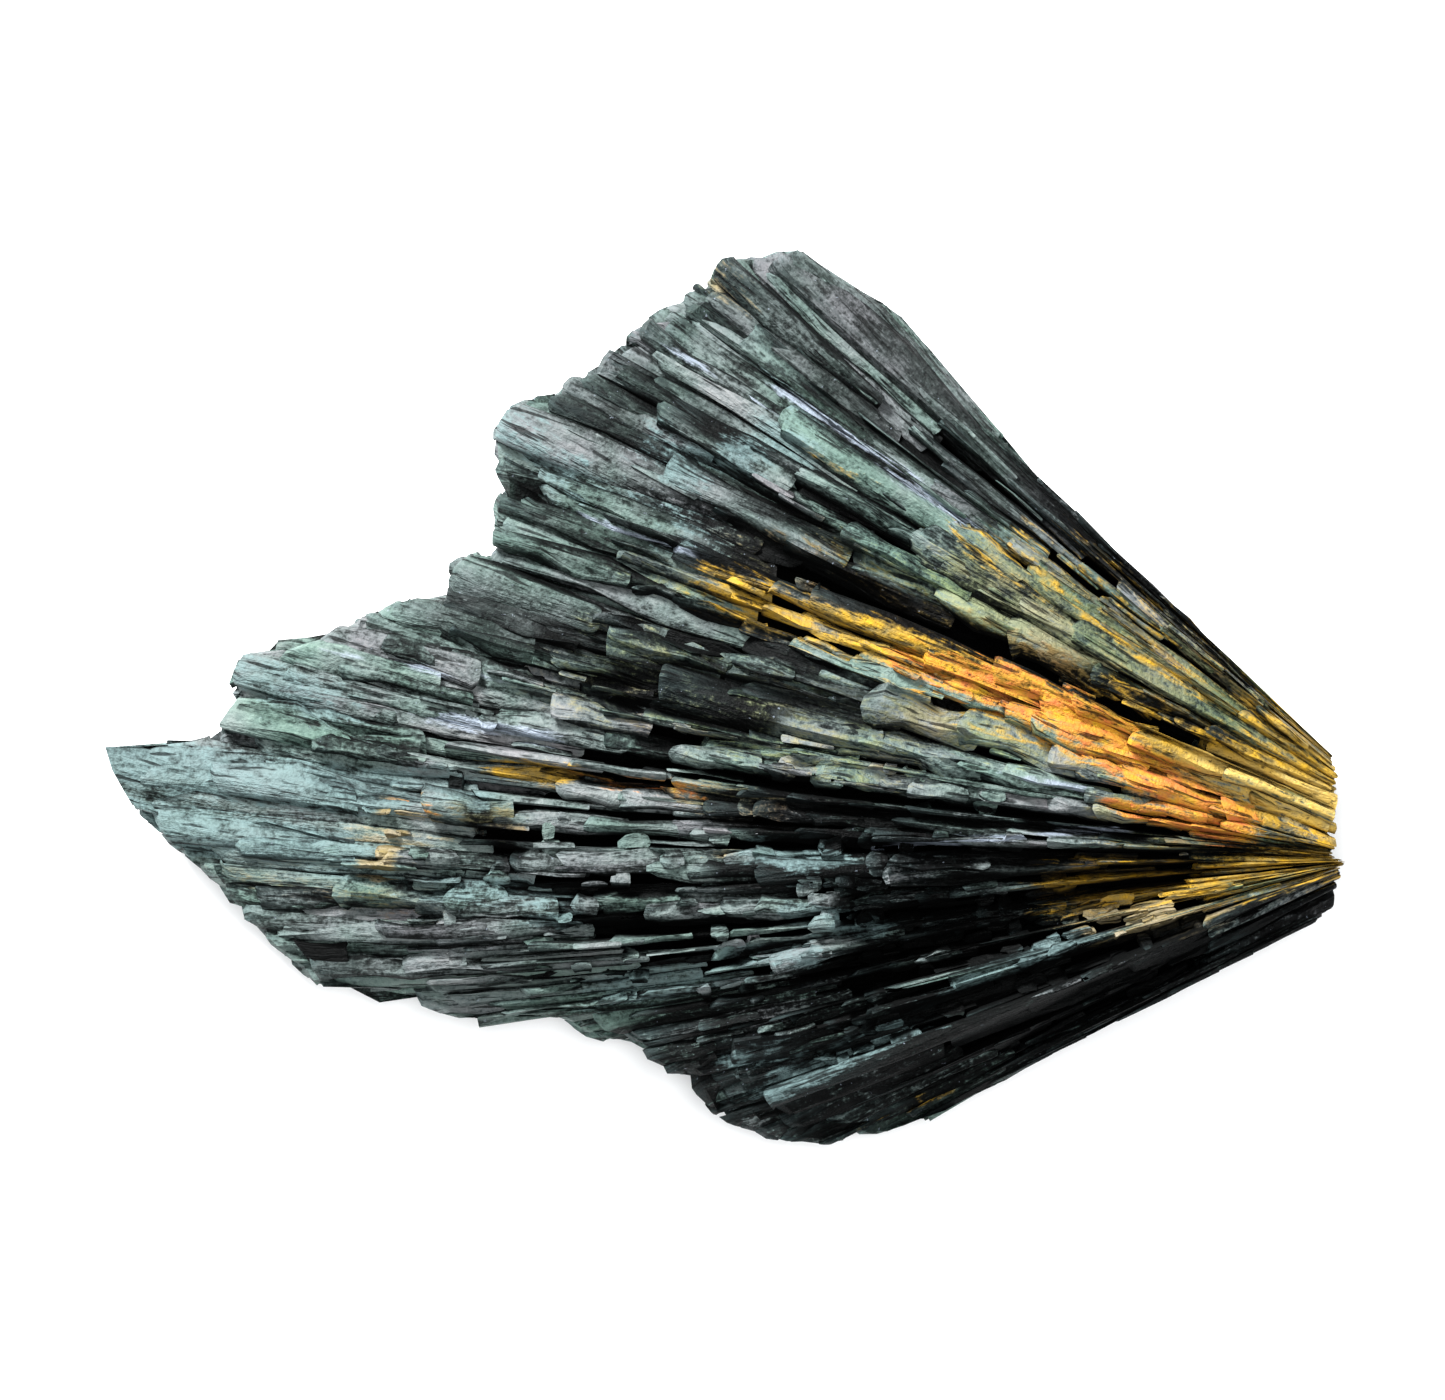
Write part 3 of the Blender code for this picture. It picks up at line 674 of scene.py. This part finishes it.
def growBlades(name, plan, stone):
    # every blade is a copy of the bar, laid along its rib line
    bar = makeBar()
    corners = [(v.co.x + 0.5, v.co.y, v.co.z + 0.5) for v in bar.vertices]
    cuts = (0.0, *bladeShape["cutsAlong"], 1.0)
    bm = bmesh.new()
    for _ in plan:
        bm.from_mesh(bar)
    ribLine = bm.verts.layers.float_vector.new("ribLine")
    bladeSpot = bm.verts.layers.float_vector.new("bladeSpot")
    verts = iter(bm.verts)
    for blade in plan:
        angle, start, end = blade["angle"], blade["start"], blade["end"]
        level, facing = blade["level"], blade["facing"]
        onFace = level in (0.0, 1.0)
        seed = blade["tone"] * 61
        broad = blade["width"] * math.radians(max(4.0, start * 0.4 + end * 0.6))  # its width in mm
        rounding = min(blade["round"], 0.25 * (end - start))
        endShare = min(0.3, (rounding * 1.2 + 0.15) / (end - start))
        # where the bar's cuts come to lie along the blade
        stations = tuple(zip(cuts, (0.0, endShare * 0.7, 0.36, 0.64, 1 - endShare, 1.0)))
        for cut, across, up in corners:
            vert = next(verts)
            atStart, nearEnd, atEnd = cut < 0.01, cut > 0.9, cut > 0.99
            side = -across * facing  # keeps the faces outwards on both sides of the fan
            along = interpolate(stations, cut)
            distance = start + (end - start) * along
            degree = math.radians(max(distance, 4.0))  # one degree there, in mm
            wave = noise.noise(Vector((distance * 0.55, seed, 2.0 * side)))
            swell = noise.noise(Vector((distance * 0.4, side * 1.6, seed + 7)))
            edge = noise.noise(Vector((distance * 0.33, 3.0 * side, seed + 3)))
            spread = 1 - blade["pinch"] * along ** 3 + bladeShape["ragged"] * edge
            sideways = angle + blade["width"] * side * spread
            sideways += blade["bend"] * math.sin(math.pi * along)
            sideways += bladeShape["wave"] * min(1.0, blade["width"] * degree) * wave / degree
            low, high = underHeight(distance, angle), topHeight(distance, angle)
            z = low + (high - low) * level
            lift = blade["inner"] + (blade["outer"] - blade["inner"]) * along
            lift += blade["roll"] * side + bladeShape["swell"] * swell - blade["thick"] * (1 - up)
            if onFace and not blade["flat"]:
                gaping = 1 - 0.7 * grownTogether(distance, sideways)
                lift -= creviceDepth(distance, sideways) * (gaping if facing > 0 else 0.4)
            if nearEnd:
                distance += blade["slant"] * side
            if atEnd:
                distance -= rounding * abs(2 * side) ** 2.5 + min(rounding, blade["chip"]) * 0.5 * up
                lift -= blade["chip"]
            if atStart:
                distance += rounding * 0.6 * abs(2 * side) ** 2.5
            if nearEnd:
                distance = min(distance, rimAt(sideways) - (0.0 if atEnd else 0.35) - 0.1 * (1 - up))
            z += facing * lift
            if blade["flat"] and up > 0.6:
                z = 0.0
            else:
                z = min(fan["heightLimit"], max(fan["floorLimit"], z))
            buried = ((high - z) if facing > 0 else (z - low)) if onFace else 0.0
            vert.co = onRib(distance, sideways, z)
            down = math.copysign((1 - up) * blade["thick"], side)
            vert[ribLine] = (broad * side + down, distance, blade["tone"])
            # painted shade for this point of the blade
            depth = paintedShadeAt(distance, angle, side, up, buried)
            vert[bladeSpot] = (max(0.0, 1 - (end - distance) / 1.1), depth, blade["warm"])
    bpy.data.meshes.remove(bar)
    finishPiece(name, bm, stone)


def addBlade(plan, rng, angle, width, start, end, level=1.0, facing=1, inner=-0.4, outer=0.3, **more):
    blade = {"angle": angle, "width": width, "start": start, "end": end, "level": level, "facing": facing}
    blade.update(inner=inner, outer=outer, thick=rng.uniform(1.5, 2.1), roll=rng.gauss(0, 0.25))
    blade.update(bend=rng.gauss(0, 0.06), slant=rng.gauss(0, 0.3), round=rng.uniform(0.1, 0.4))
    blade.update(chip=rng.uniform(0.15, 0.7), pinch=rng.uniform(0.0, 0.35))
    blade.update(tone=rng.random(), warm=rng.random(), flat=False)
    blade.update(more)
    plan.append(blade)


# A sheaf is one broad blade or a few thin ones side by side, which broke off nearly together
sheaf = {"looseEnds": 0.3, "crown": 0.4, "uneven": 0.14, "roundEnd": 0.36, "fill": (0.84, 0.98)}


def addSheaf(plan, rng, angle, width, start, end, lift, level=1.0, facing=1, **more):
    # width is in mm here
    middle = start * 0.4 + end * 0.6
    usual = more.pop("bladeWidth", interpolate(bladeWidths, angle) * rng.uniform(0.7, 1.5))
    count = max(1, round(width / usual))
    step = math.degrees(width / middle) / count
    tilt = rng.gauss(0, 0.25)
    tone = more.pop("tone", rng.random())
    warm = rng.random()
    inner = lift - rng.uniform(0.45, 0.8)
    outer = lift + rng.uniform(0.05, 0.4)
    slant = more.pop("slant", rng.gauss(0, 0.5))
    loose = more.pop("loose", sheaf["looseEnds"])
    roundEnd = more.pop("roundEnd", sheaf["roundEnd"])
    fill = more.pop("fill", sheaf["fill"])
    for number in range(count):
        side = (number + 0.5) / count - 0.5
        height = tilt * side - sheaf["crown"] * (2 * side) ** 2 + rng.gauss(0, sheaf["uneven"])
        stop = end + slant * side - abs(rng.gauss(0, loose)) * (count > 1) - 0.4 * abs(2 * side) ** 3
        begin = start + rng.uniform(-0.4, 0.4) if start > 6 else start + rng.uniform(0, 0.3)
        addBlade(
            plan, rng, angle + step * (number + 0.5 - count / 2), step * rng.uniform(*fill), begin, stop,
            level, facing, inner=inner + height, outer=outer + height,
            slant=slant / count + rng.gauss(0, 0.12),
            round=roundEnd * width / count * rng.uniform(0.7, 1.3),
            tone=min(1.0, max(0.0, tone + rng.gauss(0, 0.16))), warm=warm, **more,
        )


# How the blades change across the fan: angle, width of a sheaf, usual length between breaks and width of a
# blade in mm, and how open the gaps between them are
bladeKinds = (
    (-29, 1.5, 10, 1.4, 0.9), (-24, 1.4, 8, 1.2, 1.2), (-15, 1.5, 4.8, 1.1, 1.3),
    (-6, 1.7, 4.4, 1.3, 1.2), (-1, 1.9, 4.8, 1.5, 1.1), (6, 2, 4.8, 1.6, 1), (10, 1.8, 4.2, 1.5, 1.1),
    (16, 1.7, 4.4, 1.4, 1), (22, 1.8, 6.5, 1.5, 0.7), (28, 2.1, 9, 2, 0.4), (36, 2.4, 12, 2.4, 0.4),
    (46, 2, 14, 2, 0.6),
)
sheafWidths, breakLengths, bladeWidths, openness = (
    tuple((row[0], row[column]) for row in bladeKinds) for column in (1, 2, 3, 4)
)

# The rows of blades on both faces. Each runs from far to near, in shares of the way to the rim.
outerGaps = (0.08, 0.16, 0.26, 0.4)  # shares of the way across that stay open
innerGaps = (0.0, 0.0, 0.1)
lanes = {
    "outer": {
        "far": 1.0, "near": 0.5, "stagger": 0.03, "width": 1.0, "proud": 0.0, "sunk": 0.18, "uneven": 0.45,
        "gaps": outerGaps, "fill": (0.88, 1.02),
    },
    "middle": {
        "far": 0.66, "near": 0.28, "stagger": 0.07, "width": 0.85, "proud": 0.1, "sunk": 0.16, "uneven": 0.42,
        "gaps": outerGaps, "fill": (0.9, 1.04),
    },
    "inner": {
        "far": 0.56, "near": 0.0, "stagger": 0.06, "width": 0.66, "proud": 0.05, "sunk": 0.05, "uneven": 0.26,
        "gaps": innerGaps, "fill": (0.96, 1.08),
    },
}
# What the rows have in common: widths and lengths in shares of the usual ones, the rest in mm
everyLane = {
    "widths": (0.55, 1.45),
    "lengths": (0.4, 1.7),
    "rimEnds": (0.3, 0.3, 0.0, -0.7),  # how far past the rim, before they are cut there
    "underShort": 0.7,  # and how much less on the underside
    "overlap": 2.0,
    "shortest": 2.5,
    "sinking": (0.7, 1.5),
}
firstAngle, lastAngle = -29.2, 46.0
mostSlant = 2.2


def rimSlant(angle, step):
    return max(-mostSlant, min(mostSlant, rimAt(angle + step / 2) - rimAt(angle - step / 2)))


def planLane(rng, lane, level, facing):
    plan = []
    angle = firstAngle
    while angle < lastAngle:
        reach = rimAt(angle)
        middle = reach * (lane["far"] * 0.6 + lane["near"] * 0.4)
        width = lane["width"] * interpolate(sheafWidths, angle) * rng.uniform(*everyLane["widths"])
        step = math.degrees(width / max(12.0, middle))
        passed = 0.0
        for grooveAngle, grooveNear, grooveFar, half, _ in grooves:
            edge = grooveAngle - math.degrees(half * 0.9 / middle)
            if angle + 0.25 < edge < angle + step and grooveNear < middle < grooveFar:
                step, passed = edge - angle, 2 * (grooveAngle - edge)
        step = min(step, lastAngle + 0.4 - angle)
        at = angle + step / 2
        angle += step + passed
        far = reach * (lane["far"] + rng.gauss(0, lane["stagger"]))
        if lane["far"] == 1.0:
            far = rimAt(at) + rng.choice(everyLane["rimEnds"])
            far -= everyLane["underShort"] if facing < 0 else 0.0
        near = max(baseStart(at) + rng.uniform(0.0, 0.5), reach * lane["near"])
        share = rng.choice(lane["gaps"])
        end = far
        while end > near + 1.0:
            length = interpolate(breakLengths, at) * rng.uniform(*everyLane["lengths"])
            start = end - length - everyLane["overlap"]
            if start < near + everyLane["shortest"]:
                start = near
            gaping = interpolate(openness, at) * (1 - 0.85 * grownTogether(end, at))
            lift = lane["proud"] + rng.gauss(0, lane["uneven"]) * min(1.0, 0.35 + 0.65 * gaping)
            if rng.random() < lane["sunk"] * gaping:
                lift -= rng.uniform(*everyLane["sinking"])
            local = math.radians(step) * (start * 0.4 + end * 0.6)
            more = {"fill": lane["fill"]}
            wide = local * (1 - gaping * share)
            if end == far and lane["far"] == 1.0:  # the ends at the rim stand close together
                wide = local
                more = {"fill": (1.0, 1.12), "pinch": 0.05, "loose": 0.12}
                more["slant"] = rimSlant(at, step) * rng.uniform(0.7, 1.1)
            addSheaf(plan, rng, at, wide, start, end, lift, level, facing, **more)
            end = start + everyLane["overlap"] if start > near else near
    return plan


# Larger single blades of the upper face: angle, start, end, width and slant in mm, and how proud
plates = (
    (3.35, 64, 79.7, 3.8, 1.6, 0.5), (4.2, 58, 73.3, 2.4, 0.5, 0.45), (1.7, 60, 76.7, 2.4, 0.8, 0.3),
    (-1.6, 60.3, 70.5, 2.5, 0.3, 0.3), (-3.5, 58.8, 69.3, 2.3, 0.2, 0.3),
    (-5.5, 57.3, 67.4, 2.3, 0.2, 0.3), (9.05, 62, 72.6, 2.8, -0.4, 0.3),
    (10.7, 59.9, 69.4, 1.7, -1.8, 0.3), (10.3, 57.9, 66.3, 1, 0.2, 0.6),
    (13.7, 54.8, 63.9, 2.2, 0.3, 0.3), (12.5, 57.8, 65.4, 1.5, 0.2, 0.2),
    (16.5, 51.4, 61, 2.5, -0.3, 0.35), (19.4, 49.8, 59.2, 1.2, 0.1, 0.3),
    (21.4, 48.9, 59.8, 1.2, 0.2, 0.3), (25.9, 46, 61.6, 3.3, -0.4, 0.35), (29.3, 49, 59.2, 1.8, 0.4, 0.3),
    (31.7, 47.4, 57.8, 1.6, 0.2, 0.3), (34.7, 46.3, 56.9, 1.5, 0.2, 0.3), (40.6, 42, 55.6, 2, 0.5, 0.3),
    (43.8, 26, 53.2, 3, -0.9, 0.2), (30.9, 43.3, 53.5, 2.4, 0.5, 0.5), (34.6, 30.3, 46.3, 2.4, 0.4, 0.5),
    (27.2, 38.4, 51.1, 2.4, 0.3, 0.5), (38, 28, 51.5, 2.6, 0.5, 0.4), (11.2, 46.3, 53.1, 2, 0.3, 0.5),
    (15.5, 42.4, 50.6, 1.8, 0.2, 0.5), (13.7, 32.5, 46.9, 2.4, 0.4, 0.7),
    (-1.8, 51.3, 60.6, 1.4, -0.2, 0.5), (-3.4, 50.6, 59.5, 1.6, -0.2, 0.5),
    (-5.2, 53.2, 61.7, 2, -0.2, 0.5), (0.8, 31.5, 39.9, 1.6, 0.2, 0.9), (0.6, 19, 32.3, 1.9, 0.4, 0.4),
    (-17.1, 26.6, 43.2, 2, -0.4, 0.6), (-20.7, 16, 41.9, 1.1, 0.2, 0.7), (-15.2, 8, 29.1, 1.4, 0.2, 0.8),
    (4.3, 54, 60.2, 2.3, 0.5, 0.7), (-8.2, 32.5, 39.5, 1.4, 0.3, 0.8), (-7, 31, 37, 1.1, 0.1, 0.9),
    (6.8, 60, 73, 2.4, -0.3, 0.3), (11.6, 57.5, 67.8, 1.8, -0.5, 0.35), (15.2, 52, 61.4, 1.6, 0.2, 0.3),
    (2.5, 60.4, 62.4, 1, 0.2, 0.5), (1.4, 60.9, 62.9, 1.2, 0.2, 0.5), (0.2, 61.4, 63.5, 1.1, -0.2, 0.5),
)


def planPlates(rng):
    plan = []
    single = {"bladeWidth": 4.0, "loose": 0.15, "pinch": 0.0, "roundEnd": 0.16}
    for angle, start, end, width, slant, proud in plates:
        addSheaf(plan, rng, angle, width, start, end, proud, slant=slant, **single)
    return plan


# Splinters and crumbs between the blades: how many, angles, shares of the way to the rim, lengths and widths
# in mm, and how unevenly they stand up
crumbs = (
    (260, (-28, 44), (0.2, 0.97), (1.6, 5.0), (0.25, 0.6), 0.35),
    (130, (-20, 12), (0.3, 0.85), (0.9, 2.2), (0.6, 1.3), 0.35),
    (70, (-16, 2), (0.3, 0.65), (0.9, 2.6), (0.5, 1.2), 0.6),
)


def planCrumbs(rng):
    plan = []
    for count, angles, shares, lengths, widths, uneven in crumbs:
        for _ in range(count):
            angle = rng.uniform(*angles)
            end = rimAt(angle) * rng.uniform(*shares)
            start = end - rng.uniform(*lengths)
            width = rng.uniform(*widths)
            lift = rng.gauss(0.05, uneven)
            more = {"inner": lift - 0.3, "outer": lift + 0.1, "round": 0.5 * width, "chip": 0.3 * width}
            more.update(thick=rng.uniform(0.6, 1.1), tone=rng.uniform(0.3, 1.0))
            more.update(bend=rng.gauss(0, 0.08), slant=rng.gauss(0, 0.25) * width, roll=rng.gauss(0, 0.4))
            addBlade(plan, rng, angle, math.degrees(width / end), start, end, **more)
    return plan


rng = random.Random(11)
for name, lane in lanes.items():
    growBlades(f"upper_{name}_blades", planLane(rng, lane, 1.0, 1), bladeStone)
growBlades("upper_plates", planPlates(rng), bladeStone)
growBlades("upper_crumbs", planCrumbs(rng), bladeStone)
for name, lane in lanes.items():
    growBlades(f"under_{name}_blades", planLane(rng, lane, 0.0, -1), bladeStone)

# Leaves between the two faces, which show at the rim, at both flanks and at the broken face of the root
leaves = {
    "levels": (0.18, 0.36, 0.54, 0.7, 0.86),
    "middle": (0.36, 0.54, 0.7),
    "middleShort": (0.0, 0.1, 0.3, 0.6),  # how many mm the middle ones end before the rim
    "otherShort": (0.6, 3.0),
    "flankAngles": (
        firstAngle + 0.3, firstAngle + 0.6, firstAngle + 1.3,
        lastAngle - 0.5, lastAngle - 0.8, lastAngle - 1.5,
    ),
}


def planRimLeaves(plan, rng, level):
    angle = firstAngle
    while angle < lastAngle:
        step = math.degrees(interpolate(sheafWidths, angle) * rng.uniform(0.6, 1.2) / rimAt(angle))
        at = angle + step / 2
        angle += step
        inMiddle = level in leaves["middle"]
        short = rng.choice(leaves["middleShort"]) if inMiddle else rng.uniform(*leaves["otherShort"])
        end = rimAt(at) - short
        width = math.radians(step) * end
        more = {"slant": rimSlant(at, step), "loose": 0.1, "thick": 0.9, "pinch": 0.05, "fill": (0.95, 1.1)}
        more["tone"] = rng.uniform(0.4, 1.0)
        addSheaf(plan, rng, at, width, end * 0.72, end, 0.3, level + rng.uniform(-0.04, 0.04), **more)


def planRootLeaves(plan, rng, level):
    angle = firstAngle + 2.0
    while angle < lastAngle - 4.0:
        step = rng.uniform(2.2, 3.6)
        start = baseStart(angle) + rng.uniform(0.0, 0.8)
        height = level + rng.uniform(-0.05, 0.05)
        addBlade(plan, rng, angle, step * 0.9, start, start + 9, height, inner=0.3, outer=0.3, thick=1.2)
        angle += step


def planFlankLeaves(plan, rng, level):
    for at in leaves["flankAngles"]:
        start = baseStart(at) + rng.uniform(0.0, 0.8)
        end = rimAt(at) * 0.93
        while start < end - 4:
            stop = min(end, start + rng.uniform(5, 13))
            addBlade(
                plan, rng, at + rng.gauss(0, 0.2), 0.8, start, stop, level + rng.uniform(-0.1, 0.13),
                inner=rng.gauss(0.2, 0.2), outer=0.3, thick=rng.uniform(0.4, 0.9), tone=rng.uniform(0.2, 0.9),
            )
            start = stop - 1.5


def planLeaves(rng):
    plan = []
    for level in leaves["levels"]:
        planRimLeaves(plan, rng, level)
        planRootLeaves(plan, rng, level)
        planFlankLeaves(plan, rng, level)
    return plan


growBlades("inner_leaves", planLeaves(rng), bladeStone)

# The level blades that the fan rests on: angle, width in degrees, start and end in mm
feet = ((26, 9, 36, 47), (-6, 9, 40, 53), (2, 26, 9, 19))
bladesPerFoot = 9


def planFeet(rng):
    plan = []
    for angle, width, start, end in feet:
        step = width / bladesPerFoot
        for number in range(bladesPerFoot):
            at = angle + width * ((number + 0.5) / bladesPerFoot - 0.5)
            begin, stop = start + rng.uniform(0, 1.5), end - rng.uniform(0, 1.5)
            addBlade(plan, rng, at, step * 0.94, begin, stop, 0.0, -1, thick=2.0, flat=True)
    return plan


growBlades("resting_blades", planFeet(rng), bladeStone)

# The dark solid middle that shows only deep between the blades: its stone is painted very dark, as painted
# shade
core = {"inset": 1.7, "reach": 0.93, "angles": (-28.6, 45.2), "alongCuts": 26, "acrossCuts": 120}


def makeCore():
    bm = bmesh.new()
    bmesh.ops.create_grid(bm, x_segments=core["alongCuts"], y_segments=core["acrossCuts"], size=0.5)
    sheet = bmesh.ops.extrude_face_region(bm, geom=bm.faces[:])
    upper = {item for item in sheet["geom"] if isinstance(item, bmesh.types.BMVert)}
    ribLine = bm.verts.layers.float_vector.new("ribLine")
    bladeSpot = bm.verts.layers.float_vector.new("bladeSpot")
    firstCore, lastCore = core["angles"]
    for vert in bm.verts:
        angle = firstCore + (lastCore - firstCore) * (vert.co.y + 0.5)
        start = baseStart(angle) + 0.9
        distance = start + (rimAt(angle) * core["reach"] - start) * (vert.co.x + 0.5)
        low, high = underHeight(distance, angle), topHeight(distance, angle)
        inset = min(core["inset"], (high - low) * 0.4)
        ripple = 0.25 * noise.noise(Vector((angle * 1.3, distance * 0.1, 8.0)))
        z = high - inset + ripple if vert in upper else low + inset + ripple
        vert.co = onRib(distance, angle, z)
        vert[ribLine] = (math.radians(angle) * distance, distance, 0.2)
        # a fixed share of painted shade on the core
        vert[bladeSpot] = (0.0, 0.3, 0.3)
    bmesh.ops.recalc_face_normals(bm, faces=bm.faces[:])
    finishPiece("solid_core", bm, paintedShadeCore)


makeCore()

# Camera straight above, as in the photo, a pale floor and soft light from above and the left
view = {"distance": 0.42, "span": 0.0885, "sensor": 36, "middle": (0.0, 0.0, 0.006)}
stage = {
    "floorSize": 1.5,
    "floorShade": (0.94, 0.94, 0.94, 1),
    "roomShade": (0.95, 0.98, 1.0, 1),
    "roomLight": 0.6,
}
lights = (
    ("soft_key", (-0.27, 0.43, 0.39), 0.18, 11.5),
    ("soft_top", (0.05, -0.05, 0.8), 0.4, 4.0),
)  # place and size in m, and power in W


def makeStage():
    bm = bmesh.new()
    bmesh.ops.create_grid(bm, x_segments=2, y_segments=2, size=stage["floorSize"])
    mesh = toMesh("floor", bm)
    paper = bpy.data.materials.new("pale floor")
    paper.use_nodes = True
    shader = paper.node_tree.nodes["Principled BSDF"]
    shader.inputs["Base Color"].default_value = stage["floorShade"]
    shader.inputs["Roughness"].default_value = 0.9
    mesh.materials.append(paper)
    floor = addObject("floor", mesh)


def addLight(name, place, size, power):
    light = bpy.data.lights.new(name, "AREA")
    light.shape = "DISK"
    light.size = size
    light.energy = power
    lamp = addObject(name, light)
    lamp.location = place
    lamp.rotation_euler = (Vector(view["middle"]) - Vector(place)).to_track_quat("-Z", "Y").to_euler()


makeStage()
for light in lights:
    addLight(*light)
world = bpy.data.worlds.new("pale room")
world.use_nodes = True
background = world.node_tree.nodes["Background"]
background.inputs["Color"].default_value = stage["roomShade"]
background.inputs["Strength"].default_value = stage["roomLight"]
scene = bpy.context.scene
scene.world = world

camera = bpy.data.cameras.new("camera")
camera.sensor_width = view["sensor"]
camera.lens = view["sensor"] * view["distance"] / view["span"]
scene.camera = addObject("camera", camera)
scene.camera.location.z = view["middle"][2] + view["distance"]
scene.view_settings.view_transform = "Standard"
scene.view_settings.look = "Medium High Contrast"
scene.view_settings.exposure = 0.0
print("kyanite: camera and light set")
